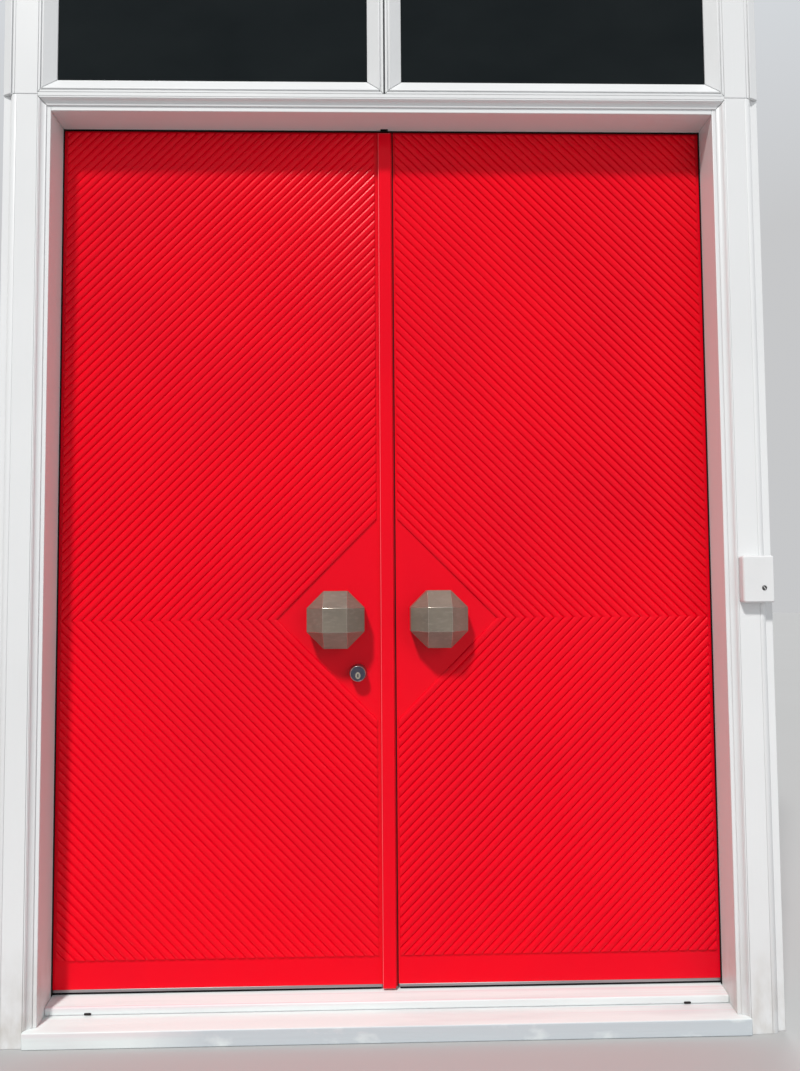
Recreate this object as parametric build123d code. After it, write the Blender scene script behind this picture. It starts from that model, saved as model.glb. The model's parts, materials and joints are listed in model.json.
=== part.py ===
from build123d import *
import os
from math import cos, hypot, pi, sin, sqrt

# Lacquered double doors in a painted timber frame with a two-light transom.
# Millimetres. +X to the right seen from the street, +Y into the building, +Z up.
# Y = 0 is the outer face of the closed leaves, Z = 0 the underside of the sill.

os.makedirs("parts", exist_ok=True)

# Sill and threshold
SILL_TOP = 42.0
TREAD_FALL = 6.0
THRESHOLD_RISE = 24.0
THRESHOLD_SLOPE = 6.0
THRESHOLD_FRONT = 48.0
THRESHOLD_TOP = SILL_TOP + THRESHOLD_RISE
THRESHOLD_NOSE = THRESHOLD_TOP - THRESHOLD_SLOPE
TREAD_TOP = SILL_TOP - TREAD_FALL

# Leaves: flush slabs with a metal shoe under each
LEAF_THICK = 44.0
SHOE_THICK = 6.5

# Doorway: clear size between the stops of the rebated lining
DOORWAY_HALF = 765.0
DOORWAY_HEIGHT = 2015.0
REVEAL = 92.0
REBATE = 16.0
LINING = 32.0
FRAME_REAR = LEAF_THICK
DOORWAY_TOP = THRESHOLD_TOP + DOORWAY_HEIGHT
LINING_BACK = DOORWAY_HALF + LINING
HEAD_BACK = DOORWAY_TOP + LINING
REBATE_SIDE = DOORWAY_HALF + REBATE
REBATE_TOP = DOORWAY_TOP + REBATE

# Working clearances
EDGE_GAP = 5.0
STOP_GAP = 5.0
FLOOR_GAP = 5.0
LEAF_SIDE = REBATE_SIDE - EDGE_GAP
LEAF_TOP = REBATE_TOP - EDGE_GAP
SHOE_UNDER = THRESHOLD_TOP + FLOOR_GAP
LEAF_BOTTOM = SHOE_UNDER + SHOE_THICK

# Meeting strip, fixed to the left leaf and lapping its edge
STRIP_HALF = 15.0
STRIP_PROUD = 10.0
STRIP_LAP = 1.5
SHOE_CLEAR = 1.0
MEETING_EDGE = STRIP_HALF - STRIP_LAP

# Reeded fields: parallel reeds at 45 degrees about a plain diamond
REED_PITCH = 16.0
REED_RISE = 4.5
REED_BASE = 0.8
REED_FLATS = 5
DIAMOND_HALF = 257.0
STILE_INNER = 10.0
STILE_OUTER = 10.0
RAIL_HEAD = 7.0
RAIL_FOOT = 65.5
FIELD_INNER = STRIP_HALF + STILE_INNER
FIELD_OUTER = DOORWAY_HALF - STILE_OUTER
FIELD_TOP = DOORWAY_TOP - RAIL_HEAD
FIELD_BOTTOM = LEAF_BOTTOM + RAIL_FOOT

# Knobs: faceted, with the broad octagon seated on the leaf
KNOB_X = 118.5
KNOB_UP = 844.0
KNOB_EDGE = 54.5
KNOB_Z = THRESHOLD_TOP + KNOB_UP

# Lock cylinder and its turn
LOCK_X = -68.7
LOCK_DROP = 124.6
COLLAR_BASE_RADIUS = 20.5
COLLAR_FACE_RADIUS = 16.5
COLLAR_LENGTH = 31.0
PLUG_RADIUS = 7.7
PLUG_GAP = 0.3
PLUG_SUNK = 1.0
KEYWAY_WIDTH = 2.2
KEYWAY_HEIGHT = 9.0
KEYWAY_DEPTH = 8.0
TURN_PLATE = 4.0
TURN_WIDTH = 8.0
TURN_HEIGHT = 30.0
TURN_PROUD = 18.0
LOCK_Z = KNOB_Z - LOCK_DROP

# Hinges: three butts to a leaf, pins clear of the inner face
KNUCKLE_RADIUS = 5.5
KNUCKLE_CLEAR = 0.5
KNUCKLE_GAP = 0.5
KNUCKLES = 3
PLATE_THICK = 0.4 * EDGE_GAP
PLATE_INSET = 8.0
HINGE_HEIGHT = 100.0
HINGE_RAISED = 250.0
HINGE_LOWERED = 210.0
BOTTOM_HINGE = LEAF_BOTTOM + HINGE_RAISED
TOP_HINGE = LEAF_TOP - HINGE_LOWERED
HINGE_LEVELS = (BOTTOM_HINGE, (BOTTOM_HINGE + TOP_HINGE) / 2, TOP_HINGE)
PIN_X = LEAF_SIDE + EDGE_GAP / 2
PIN_Y = LEAF_THICK + KNUCKLE_CLEAR + KNUCKLE_RADIUS

# Inner mouldings, planted round the doorway on the front edge of the lining
PLANTED = 12.0
EDGE_SHOWN = 7.0
SIDE_JOINT = 2.0
HEAD_JOINT = 4.0
MOULD_WIDTH = 17.0
MOULD_EDGE = 3.0
MOULD_LIP = 2.0
MOULD_BAND = 3.0
MOULD_FILLET = 1.5
MOULD_HOLLOW = 1.6
MITRE_OPEN = 1.2
MITRE_STEP = MITRE_OPEN / sqrt(2)
MOULD_INNER = DOORWAY_HALF + EDGE_SHOWN + SIDE_JOINT
HEAD_MOULD_BOTTOM = DOORWAY_TOP + EDGE_SHOWN + HEAD_JOINT
MITRE_X = MOULD_INNER + MOULD_WIDTH
MITRE_Z = HEAD_MOULD_BOTTOM + MOULD_WIDTH

# Casings in two lengths on the posts and over the head, with a bead down each lower outer edge
CASING_JOINT = 0.5
CASING_WIDTH = 47.0
UPPER_CASING_WIDTH = 52.0
CASING_BUTT = 0.8
BEAD_WIDTH = 16.0
BEAD_EDGE = 3.0
BEAD_BULGE = 1.5
HEAD_CASING_HEIGHT = 9.0
CASING_FACE = -REVEAL - PLANTED
CASING_INNER = MITRE_X + CASING_JOINT
CASING_OUTER = CASING_INNER + CASING_WIDTH
UPPER_CASING_OUTER = CASING_INNER + UPPER_CASING_WIDTH
HEAD_CASING_BOTTOM = MITRE_Z + CASING_JOINT
HEAD_CASING_TOP = HEAD_CASING_BOTTOM + HEAD_CASING_HEIGHT

# Sill front, with horns that end at the casings
SILL_NOSING = 8.0
SILL_FRONT = REVEAL + PLANTED + SILL_NOSING
SILL_HORN = MITRE_X

# Transom: two lights with splayed stops outside, a quirk sunk round each stop
STOP_WIDTH = 37.5
STOP_FLAT = 5.0
QUIRK_WIDTH = 3.0
QUIRK_DEPTH = 4.0
STOP_FILLET = 3.0
STOP_SPLAY = 18.0
STOP_NOSE = 4.0
STOP_JOINT = 0.5
GROOVE = 4.0
SIGHT_HEIGHT = 293.5
GLASS_THICK = 6.0
GLASS_HOLD = 10.0
GLASS_EDGE = 1.0
STOP_SIDE = CASING_INNER
STOP_LEVEL = HEAD_CASING_TOP
QUIRK_INNER = STOP_FLAT + QUIRK_WIDTH
SPLAY_START = QUIRK_INNER + STOP_FILLET
SIGHT_INNER = GROOVE / 2 + STOP_WIDTH
SIGHT_OUTER = STOP_SIDE - STOP_JOINT - STOP_WIDTH
SIGHT_BOTTOM = STOP_LEVEL + STOP_JOINT + STOP_WIDTH
SIGHT_TOP = SIGHT_BOTTOM + SIGHT_HEIGHT
STOP_HEAD = SIGHT_TOP + STOP_WIDTH + STOP_JOINT
GLASS_FRONT = CASING_FACE + STOP_SPLAY + STOP_NOSE
GLASS_REAR = GLASS_FRONT + GLASS_THICK
PANE_INNER = SIGHT_INNER - GLASS_HOLD - GLASS_EDGE
PANE_SIDE = SIGHT_OUTER + GLASS_HOLD + GLASS_EDGE
PANE_LEVEL = SIGHT_BOTTOM - GLASS_HOLD - GLASS_EDGE
PANE_HEAD = SIGHT_TOP + GLASS_HOLD + GLASS_EDGE

# Posts, with a butt joint halfway up the head casing
POST_WIDTH = 75.0
TOP_RAIL_HEIGHT = 90.0
OUTER_SPLAY = 9.0
POST_JOINT = HEAD_CASING_BOTTOM + HEAD_CASING_HEIGHT / 2
BUTT_UNDER = POST_JOINT - CASING_BUTT / 2
BUTT_OVER = POST_JOINT + CASING_BUTT / 2
POST_OUTER = LINING_BACK + POST_WIDTH
FRAME_TOP = SIGHT_TOP + TOP_RAIL_HEIGHT

# Weatherstrip in the rear corner of the stops
SEAL_PROUD = 1.0
SEAL_WIDTH = 2.5

# Notch in the head stop over the meeting strip
NOTCH_WIDTH = 17.5
NOTCH_HEIGHT = 6.0
NOTCH_DEPTH = 10.0

# Bell box on the right casing
BELL_WIDTH = 71.0
BELL_HEIGHT = 105.0
BELL_DEPTH = 25.0
BELL_CORNER = 6.0
BELL_BEVEL = 3.0
BELL_ASIDE = 0.5
BELL_UP = 877.0
SCREW_RADIUS = 4.0
SCREW_PROUD = 2.0
SCREW_ASIDE = 11.5
SCREW_UP = 33.0
BELL_X = CASING_INNER + BELL_ASIDE + BELL_WIDTH / 2
BELL_BOTTOM = THRESHOLD_TOP + BELL_UP


def block(x0, x1, y0, y1, z0, z1):
    """Square-cornered piece between two opposite corners."""
    return Pos((x0 + x1) / 2, (y0 + y1) / 2, (z0 + z1) / 2) * Box(x1 - x0, y1 - y0, z1 - z0)


def upright(points, z0, z1):
    """Piece of constant plan, drawn in X and Y, standing between two heights."""
    return Pos(0, 0, z0) * extrude(make_face(Polyline(*points, close=True)), amount=z1 - z0)


def elevation(points, y0, y1):
    """Piece of constant elevation, drawn in X and Z, between two depths."""
    plane = Plane(origin=(0, y1, 0), x_dir=(1, 0, 0), z_dir=(0, -1, 0))
    return extrude(plane * make_face(Polyline(*points, close=True)), amount=y1 - y0)


def lengthwise(points, x0, x1):
    """Piece of constant section, drawn in Y and Z, running along X."""
    plane = Plane(origin=(x0, 0, 0), x_dir=(0, 1, 0), z_dir=(1, 0, 0))
    return extrude(plane * make_face(Polyline(*points, close=True)), amount=x1 - x0)


def other_side(shape):
    """The same piece on the right of the doorway."""
    return mirror(shape, about=Plane.YZ)


def save(name, *shapes):
    """Write one node, as one solid or as several that stand apart."""
    solids = [solid for shape in shapes for solid in shape.solids()]
    export_step(solids[0] if len(solids) == 1 else Compound(children=solids), f"parts/{name}.step")


# Sill: one sloped board between the posts, with horns in front of the lining
sill = lengthwise(
    [
        (-SILL_FRONT, 0),
        (-SILL_FRONT, TREAD_TOP),
        (-THRESHOLD_FRONT, SILL_TOP),
        (FRAME_REAR, SILL_TOP),
        (FRAME_REAR, 0),
    ],
    -LINING_BACK,
    LINING_BACK,
)
for side in (-1, 1):
    outer = sorted((side * SILL_HORN, side * (LINING_BACK + 1)))
    sill -= block(*outer, -SILL_FRONT - 1, -REVEAL, -1, SILL_TOP)
save("sill", sill)

# Threshold: raised board under the leaves, with a sloped nose
threshold = lengthwise(
    [
        (-THRESHOLD_FRONT, SILL_TOP),
        (-THRESHOLD_FRONT, THRESHOLD_NOSE),
        (0, THRESHOLD_TOP),
        (FRAME_REAR, THRESHOLD_TOP),
        (FRAME_REAR, SILL_TOP),
    ],
    -REBATE_SIDE,
    REBATE_SIDE,
)
for side in (-1, 1):
    ends = sorted((side * DOORWAY_HALF, side * (REBATE_SIDE + 1)))
    threshold -= block(*ends, -THRESHOLD_FRONT - 1, -STOP_GAP, SILL_TOP - 1, THRESHOLD_TOP + 1)
save("threshold", threshold)

# Side linings: rebated boards standing on the sill
left_jamb = upright(
    [
        (-DOORWAY_HALF, -REVEAL),
        (-DOORWAY_HALF, -STOP_GAP),
        (-REBATE_SIDE, -STOP_GAP),
        (-REBATE_SIDE, FRAME_REAR),
        (-LINING_BACK, FRAME_REAR),
        (-LINING_BACK, -REVEAL),
    ],
    0,
    HEAD_BACK,
) - sill
save("left_jamb", left_jamb)
save("right_jamb", other_side(left_jamb))

# Head lining: the same section between the side linings, notched over the strip
head_jamb = block(-REBATE_SIDE, REBATE_SIDE, -REVEAL, FRAME_REAR, DOORWAY_TOP, HEAD_BACK)
head_jamb -= block(-REBATE_SIDE, REBATE_SIDE, -STOP_GAP, FRAME_REAR + 1, DOORWAY_TOP - 1, REBATE_TOP)
for side in (-1, 1):
    ends = sorted((side * DOORWAY_HALF, side * (REBATE_SIDE + 1)))
    head_jamb -= block(*ends, -REVEAL - 1, -STOP_GAP, DOORWAY_TOP - 1, HEAD_BACK + 1)
head_jamb -= block(
    -NOTCH_WIDTH / 2,
    NOTCH_WIDTH / 2,
    -STOP_GAP - NOTCH_DEPTH,
    -STOP_GAP + 1,
    DOORWAY_TOP - 1,
    DOORWAY_TOP + NOTCH_HEIGHT,
)
save("head_jamb", head_jamb)

# Posts: lower lengths to the butt joint, upper lengths rebated for the glass
left_post = block(-POST_OUTER, -LINING_BACK, -REVEAL, FRAME_REAR, 0, POST_JOINT)
save("left_post", left_post)
save("right_post", other_side(left_post))
left_upper_post = block(-POST_OUTER, -LINING_BACK, -REVEAL, FRAME_REAR, POST_JOINT, FRAME_TOP)
left_upper_post += block(-LINING_BACK, -STOP_SIDE, -REVEAL, GLASS_FRONT, STOP_LEVEL, FRAME_TOP)
left_upper_post += block(-LINING_BACK, -PANE_SIDE, GLASS_FRONT, GLASS_REAR, PANE_LEVEL, FRAME_TOP)
left_upper_post += block(-LINING_BACK, -SIGHT_OUTER, GLASS_REAR, FRAME_REAR, SIGHT_BOTTOM, FRAME_TOP)
save("left_upper_post", left_upper_post)
save("right_upper_post", other_side(left_upper_post))

# Transom bar: over the head lining, rebated in two steps for the panes and their stops
bar_section = [
    (-REVEAL, HEAD_BACK),
    (-REVEAL, STOP_LEVEL),
    (GLASS_FRONT, STOP_LEVEL),
    (GLASS_FRONT, PANE_LEVEL),
    (GLASS_REAR, PANE_LEVEL),
    (GLASS_REAR, SIGHT_BOTTOM),
    (FRAME_REAR, SIGHT_BOTTOM),
    (FRAME_REAR, HEAD_BACK),
]
transom_bar = lengthwise(bar_section, -LINING_BACK, LINING_BACK)
save("transom_bar", transom_bar)

# Transom head: the top rail between the upper posts, flush with the casings
transom_head = block(-STOP_SIDE, STOP_SIDE, CASING_FACE, GLASS_FRONT, STOP_HEAD, FRAME_TOP)
transom_head += block(-PANE_SIDE, PANE_SIDE, GLASS_FRONT, GLASS_REAR, PANE_HEAD, FRAME_TOP)
transom_head += block(-SIGHT_OUTER, SIGHT_OUTER, GLASS_REAR, FRAME_REAR, SIGHT_TOP, FRAME_TOP)
save("transom_head", transom_head)

# Mullion between the lights, with a tongue between the panes
transom_mullion = block(-SIGHT_INNER, SIGHT_INNER, GLASS_REAR, FRAME_REAR, SIGHT_BOTTOM, SIGHT_TOP)
transom_mullion += block(-PANE_INNER, PANE_INNER, GLASS_FRONT, GLASS_REAR, PANE_LEVEL, PANE_HEAD)
save("transom_mullion", transom_mullion)


def face_up(x0, x1, z0, z1, y):
    """Upright rectangle at a depth."""
    plane = Plane(origin=((x0 + x1) / 2, y, (z0 + z1) / 2), x_dir=(1, 0, 0), z_dir=(0, -1, 0))
    return plane * Rectangle(x1 - x0, z1 - z0)


def splayed_stops():
    """Four splayed lengths round the left light, with a quirk and open mitres."""
    x0, x1 = -SIGHT_OUTER - STOP_WIDTH, -SIGHT_INNER + STOP_WIDTH
    z0, z1 = SIGHT_BOTTOM - STOP_WIDTH, SIGHT_TOP + STOP_WIDTH
    nose_y = CASING_FACE + STOP_SPLAY

    def inset(gap):
        """Outline of the frame drawn in by a distance."""
        return x0 + gap, x1 - gap, z0 + gap, z1 - gap

    def plate(gap, y0, y1):
        """Plate within that outline between two depths."""
        left, right, foot, top = inset(gap)
        return block(left, right, y0, y1, foot, top)

    quirk = plate(STOP_FLAT, CASING_FACE - 1, CASING_FACE + QUIRK_DEPTH)
    quirk -= plate(QUIRK_INNER, CASING_FACE - 1, CASING_FACE + QUIRK_DEPTH)
    splay = loft([face_up(*inset(SPLAY_START), CASING_FACE), face_up(*inset(STOP_WIDTH), nose_y)])
    frame = plate(0, CASING_FACE, GLASS_FRONT) - quirk - splay
    frame -= plate(STOP_WIDTH, nose_y - 1, GLASS_FRONT + 1)
    aside, above = (x1 - x0 - STOP_WIDTH) / 2, (z1 - z0 - STOP_WIDTH) / 2
    for sx in (-1, 1):
        for sz in (-1, 1):
            middle = Pos((x0 + x1) / 2 + sx * aside, CASING_FACE, (z0 + z1) / 2 + sz * above)
            frame -= middle * Rot(0, -45 * sx * sz, 0) * Box(2 * STOP_WIDTH, 2 * STOP_WIDTH, MITRE_OPEN)
    return frame


left_stops = splayed_stops()
save("transom_stops", left_stops, other_side(left_stops))

# Glass: one pane to each light, held between the stops and the rear rebate
left_pane = block(
    -SIGHT_OUTER - GLASS_HOLD,
    -SIGHT_INNER + GLASS_HOLD,
    GLASS_FRONT,
    GLASS_REAR,
    SIGHT_BOTTOM - GLASS_HOLD,
    SIGHT_TOP + GLASS_HOLD,
)
save("transom_glass", left_pane, other_side(left_pane))

# Casings: flat boards planted on the faces of the posts and over the head
casing = block(-CASING_OUTER, -CASING_INNER, CASING_FACE, -REVEAL, 0, BUTT_UNDER)
upper_casing = block(-UPPER_CASING_OUTER, -CASING_INNER, CASING_FACE, -REVEAL, BUTT_OVER, FRAME_TOP)
save("side_casings", casing, upper_casing, other_side(casing), other_side(upper_casing))
head_casing = block(-CASING_INNER, CASING_INNER, CASING_FACE, -REVEAL, HEAD_CASING_BOTTOM, HEAD_CASING_TOP)
save("head_casing", head_casing)


def moulding_section():
    """Section across the inner moulding: lip, hollow and flat band, away from the doorway."""
    band = MOULD_WIDTH - MOULD_BAND
    foot = (MOULD_LIP, -MOULD_EDGE)
    shoulder = (band - MOULD_FILLET, -PLANTED + MOULD_FILLET)
    waist = ((foot[0] + shoulder[0]) / 2 + MOULD_HOLLOW, (foot[1] + shoulder[1]) / 2 + MOULD_HOLLOW)
    outline = Polyline((0, 0), (0, -MOULD_EDGE), foot)
    outline += ThreePointArc(foot, waist, shoulder)
    outline += Polyline(
        shoulder,
        (band, -PLANTED + MOULD_FILLET),
        (band, -PLANTED),
        (MOULD_WIDTH, -PLANTED),
        (MOULD_WIDTH, 0),
        (0, 0),
    )
    return make_face(outline)


# Inner mouldings: mitred at the corners of the doorway, the mitres a little open
side_plane = Plane(origin=(-MOULD_INNER, -REVEAL, 0), x_dir=(-1, 0, 0), z_dir=(0, 0, -1))
left_mould = extrude(side_plane * moulding_section(), amount=-MITRE_Z)
left_mould -= elevation(
    [
        (-MOULD_INNER + 1, HEAD_MOULD_BOTTOM - 1 - MITRE_STEP),
        (-MITRE_X - 1, MITRE_Z + 1 - MITRE_STEP),
        (-MITRE_X - 1, MITRE_Z + 1),
        (-MOULD_INNER + 1, MITRE_Z + 1),
    ],
    CASING_FACE - 1,
    -REVEAL + 1,
)
left_mould -= sill
save("side_mouldings", left_mould, other_side(left_mould))
head_plane = Plane(origin=(-MITRE_X, -REVEAL, HEAD_MOULD_BOTTOM), x_dir=(0, 0, 1), z_dir=(-1, 0, 0))
head_mould = extrude(head_plane * moulding_section(), amount=-2 * MITRE_X)
for side in (-1, 1):
    head_mould -= elevation(
        [
            (side * (MOULD_INNER - 1 - MITRE_STEP), HEAD_MOULD_BOTTOM - 1),
            (side * (MITRE_X + 1 - MITRE_STEP), MITRE_Z + 1),
            (side * (MITRE_X + 1), MITRE_Z + 1),
            (side * (MITRE_X + 1), HEAD_MOULD_BOTTOM - 1),
        ],
        CASING_FACE - 1,
        -REVEAL + 1,
    )
save("head_moulding", head_mould)

# Outer mouldings: a rounded bead beside each lower casing, a quirked splay beside each upper one
crown = (BEAD_EDGE, -PLANTED)
brow = ((BEAD_EDGE + BEAD_WIDTH) / 2 + BEAD_BULGE, -(PLANTED + BEAD_EDGE) / 2 - BEAD_BULGE)
outer_outline = Polyline((0, 0), (0, -PLANTED), crown)
outer_outline += ThreePointArc(crown, brow, (BEAD_WIDTH, -BEAD_EDGE))
outer_outline += Polyline((BEAD_WIDTH, -BEAD_EDGE), (BEAD_WIDTH, 0), (0, 0))
outer_plane = Plane(origin=(-CASING_OUTER, -REVEAL, 0), x_dir=(-1, 0, 0), z_dir=(0, 0, -1))
left_bead = extrude(outer_plane * make_face(outer_outline), amount=-BUTT_UNDER)
splay_outline = [
    (-UPPER_CASING_OUTER, -REVEAL),
    (-UPPER_CASING_OUTER, CASING_FACE),
    (-UPPER_CASING_OUTER - STOP_FLAT, CASING_FACE),
    (-UPPER_CASING_OUTER - STOP_FLAT, CASING_FACE + QUIRK_DEPTH),
    (-UPPER_CASING_OUTER - QUIRK_INNER, CASING_FACE + QUIRK_DEPTH),
    (-UPPER_CASING_OUTER - QUIRK_INNER, CASING_FACE),
    (-UPPER_CASING_OUTER - SPLAY_START, CASING_FACE),
    (-POST_OUTER, CASING_FACE + OUTER_SPLAY),
    (-POST_OUTER, -REVEAL),
]
left_splay = upright(splay_outline, BUTT_OVER, FRAME_TOP)
save("outer_mouldings", left_bead, left_splay, other_side(left_bead), other_side(left_splay))

# Weatherstrip: a thin bead round the rear corner of the stops
SEAL_REAR = -STOP_GAP
weatherstrip = block(
    -DOORWAY_HALF,
    DOORWAY_HALF,
    SEAL_REAR - SEAL_WIDTH,
    SEAL_REAR,
    THRESHOLD_TOP,
    DOORWAY_TOP,
)
weatherstrip -= block(
    -DOORWAY_HALF + SEAL_PROUD,
    DOORWAY_HALF - SEAL_PROUD,
    SEAL_REAR - SEAL_WIDTH - 1,
    SEAL_REAR + 1,
    SILL_TOP,
    DOORWAY_TOP - SEAL_PROUD,
)
weatherstrip -= threshold
save("weatherstrip", weatherstrip)

# Leaves: the right meeting edge is bevelled to clear the strip as the left leaf swings in
left_leaf = block(-LEAF_SIDE, MEETING_EDGE, 0, LEAF_THICK, LEAF_BOTTOM, LEAF_TOP)
save("left_leaf", left_leaf)
SWEEP = hypot(PIN_X + STRIP_HALF, PIN_Y + STRIP_PROUD) + EDGE_GAP


def right_edge(y):
    """Meeting edge of the right leaf at a depth, just clear of the strip's sweep."""
    return sqrt(SWEEP**2 - (PIN_Y - y) ** 2) - PIN_X


right_plan = [
    (right_edge(0), 0),
    (right_edge(LEAF_THICK), LEAF_THICK),
    (LEAF_SIDE, LEAF_THICK),
    (LEAF_SIDE, 0),
]
save("right_leaf", upright(right_plan, LEAF_BOTTOM, LEAF_TOP))
SHOE_INNER = STRIP_HALF + SHOE_CLEAR
save("left_shoe", block(-LEAF_SIDE, -SHOE_INNER, 0, LEAF_THICK, SHOE_UNDER, LEAF_BOTTOM))
save("right_shoe", block(right_edge(LEAF_THICK), LEAF_SIDE, 0, LEAF_THICK, SHOE_UNDER, LEAF_BOTTOM))

# Meeting strip: flat and square-edged, from the shoes up to the head
save("meeting_strip", block(-STRIP_HALF, STRIP_HALF, -STRIP_PROUD, 0, SHOE_UNDER, FIELD_TOP))


def reeded_field(upper):
    """Left field above or below the knob: parallel reeds on a thin ground, trimmed to its outline."""
    rise = 1 if upper else -1
    end = FIELD_TOP if upper else FIELD_BOTTOM
    corner = (FIELD_OUTER + abs(end - KNOB_Z)) / sqrt(2)
    start = DIAMOND_HALF / sqrt(2)
    count = int((corner - start) / REED_PITCH) + 1
    points = [(start, 0)]
    for number in range(count):
        crest = start + (number + 0.5) * REED_PITCH
        for step in range(REED_FLATS):
            turn = pi * step / REED_FLATS
            points.append((crest - REED_PITCH / 2 * cos(turn), REED_BASE + REED_RISE * sin(turn)))
    last = start + count * REED_PITCH
    points += [(last, REED_BASE), (last, 0)]
    across = Plane(origin=(0, 0, KNOB_Z), x_dir=(-1, 0, rise), z_dir=(rise, 0, 1))
    section = make_face(Polyline(*points, close=True))
    if across.y_dir.Y > 0:
        section = mirror(section, about=Plane.XZ)
    sheet = extrude(across * section, amount=corner, both=True)
    field = [
        (-FIELD_INNER, KNOB_Z + rise * (DIAMOND_HALF - FIELD_INNER)),
        (-FIELD_INNER, end),
        (-FIELD_OUTER, end),
        (-FIELD_OUTER, KNOB_Z),
        (-DIAMOND_HALF, KNOB_Z),
    ]
    return sheet & elevation(field, -REED_BASE - REED_RISE - 1, 1)


# Reeded fields: four to the pair, running parallel to the sides of the diamond
for level, upper in (("upper", True), ("lower", False)):
    field = reeded_field(upper)
    save(f"left_{level}_reeds", field)
    save(f"right_{level}_reeds", other_side(field))


def faceted_knob():
    """Knob about its centre: eighteen squares and eight triangles, cut off at the rear octagon."""
    flats = KNOB_EDGE * (1 + sqrt(2))
    octagon = RegularPolygon(radius=flats / 2, side_count=8, major_radius=False, rotation=22.5)
    body = extrude(octagon, amount=flats, both=True)
    body &= Rot(90, 0, 0) * extrude(octagon, amount=flats, both=True)
    body &= Rot(0, 90, 0) * extrude(octagon, amount=flats, both=True)
    reach = KNOB_EDGE * (3 + sqrt(2)) / (2 * sqrt(3))
    for sx in (-1, 1):
        for sy in (-1, 1):
            for sz in (-1, 1):
                away = Vector(sx, sy, sz).normalized()
                cut = Plane(origin=away * reach, z_dir=away)
                body = split(body, bisect_by=cut, keep=Keep.BOTTOM)
    return split(body, bisect_by=Plane(origin=(0, KNOB_EDGE / 2, 0), z_dir=(0, 1, 0)), keep=Keep.BOTTOM)


# Knobs: one pair outside and one inside, seated flat on the leaves
knob = faceted_knob()
outer_knob = Pos(-KNOB_X, -KNOB_EDGE / 2, KNOB_Z) * knob
inner_knob = Pos(-KNOB_X, LEAF_THICK + KNOB_EDGE / 2, KNOB_Z) * mirror(knob, about=Plane.XZ)
save("left_knobs", outer_knob, inner_knob)
save("right_knobs", other_side(outer_knob), other_side(inner_knob))

# Lock cylinder: tapered collar, plug with a keyway, and the turn inside
collar_outline = [
    (PLUG_RADIUS + PLUG_GAP, 0),
    (COLLAR_BASE_RADIUS, 0),
    (COLLAR_FACE_RADIUS, COLLAR_LENGTH),
    (PLUG_RADIUS + PLUG_GAP, COLLAR_LENGTH),
]
lock_seat = Plane(origin=(LOCK_X, 0, LOCK_Z), x_dir=(1, 0, 0), z_dir=(0, -1, 0))
collar = revolve(Plane.XZ * make_face(Polyline(*collar_outline, close=True)), axis=Axis.Z)
save("lock_collar", lock_seat * collar)
plug_length = COLLAR_LENGTH - PLUG_SUNK
plug = Pos(0, 0, plug_length / 2) * Cylinder(PLUG_RADIUS, plug_length)
plug -= Pos(0, 0, plug_length) * Box(KEYWAY_WIDTH, KEYWAY_HEIGHT, 2 * KEYWAY_DEPTH)
save("lock_plug", lock_seat * plug)
turn = Pos(0, 0, TURN_PLATE / 2) * Cylinder(COLLAR_BASE_RADIUS, TURN_PLATE)
turn += Pos(0, 0, TURN_PLATE + TURN_PROUD / 2) * Box(TURN_WIDTH, TURN_HEIGHT, TURN_PROUD)
turn_seat = Plane(origin=(LOCK_X, LEAF_THICK, LOCK_Z), x_dir=(1, 0, 0), z_dir=(0, 1, 0))
save("thumb_turn", turn_seat * turn)


def hinge_side(plate_x0, plate_x1, first):
    """Plates of three butt hinges with every other knuckle, starting at the first or second."""
    parts = []
    for level in HINGE_LEVELS:
        foot = level - HINGE_HEIGHT / 2
        piece = block(plate_x0, plate_x1, PLATE_INSET, LEAF_THICK, foot, foot + HINGE_HEIGHT)
        for number in range(first, KNUCKLES, 2):
            low = foot + number * HINGE_HEIGHT / KNUCKLES + KNUCKLE_GAP / 2
            high = low + HINGE_HEIGHT / KNUCKLES - KNUCKLE_GAP
            piece += block(plate_x0, plate_x1, LEAF_THICK, PIN_Y, low, high)
            piece += Pos(-PIN_X, PIN_Y, (low + high) / 2) * Cylinder(KNUCKLE_RADIUS, high - low)
        parts.append(piece)
    return parts


# Hinges: one set of plates on the linings, one on each leaf
frame_plates = hinge_side(-REBATE_SIDE, -REBATE_SIDE + PLATE_THICK, 0)
save("frame_hinge_plates", *frame_plates, *[other_side(piece) for piece in frame_plates])
leaf_plates = hinge_side(-LEAF_SIDE - PLATE_THICK, -LEAF_SIDE, 1)
save("left_leaf_hinge_plates", *leaf_plates)
save("right_leaf_hinge_plates", *[other_side(piece) for piece in leaf_plates])

# Bell box: plain weatherproof cover on the right casing, with one screw
bell_box = block(
    BELL_X - BELL_WIDTH / 2,
    BELL_X + BELL_WIDTH / 2,
    CASING_FACE - BELL_DEPTH,
    CASING_FACE,
    BELL_BOTTOM,
    BELL_BOTTOM + BELL_HEIGHT,
)
bell_box = fillet(bell_box.edges().filter_by(Axis.Y), BELL_CORNER)
bell_box = chamfer(bell_box.faces().sort_by(Axis.Y)[0].edges(), BELL_BEVEL)
save("bell_box", bell_box)
screw = Rot(90, 0, 0) * Cylinder(SCREW_RADIUS, SCREW_PROUD)
screw_face = CASING_FACE - BELL_DEPTH - SCREW_PROUD / 2
save("bell_box_screw", Pos(BELL_X + SCREW_ASIDE, screw_face, BELL_BOTTOM + SCREW_UP) * screw)
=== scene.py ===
import json
import math
import random

import bmesh
import bpy
from mathutils import Matrix, Vector

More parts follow.
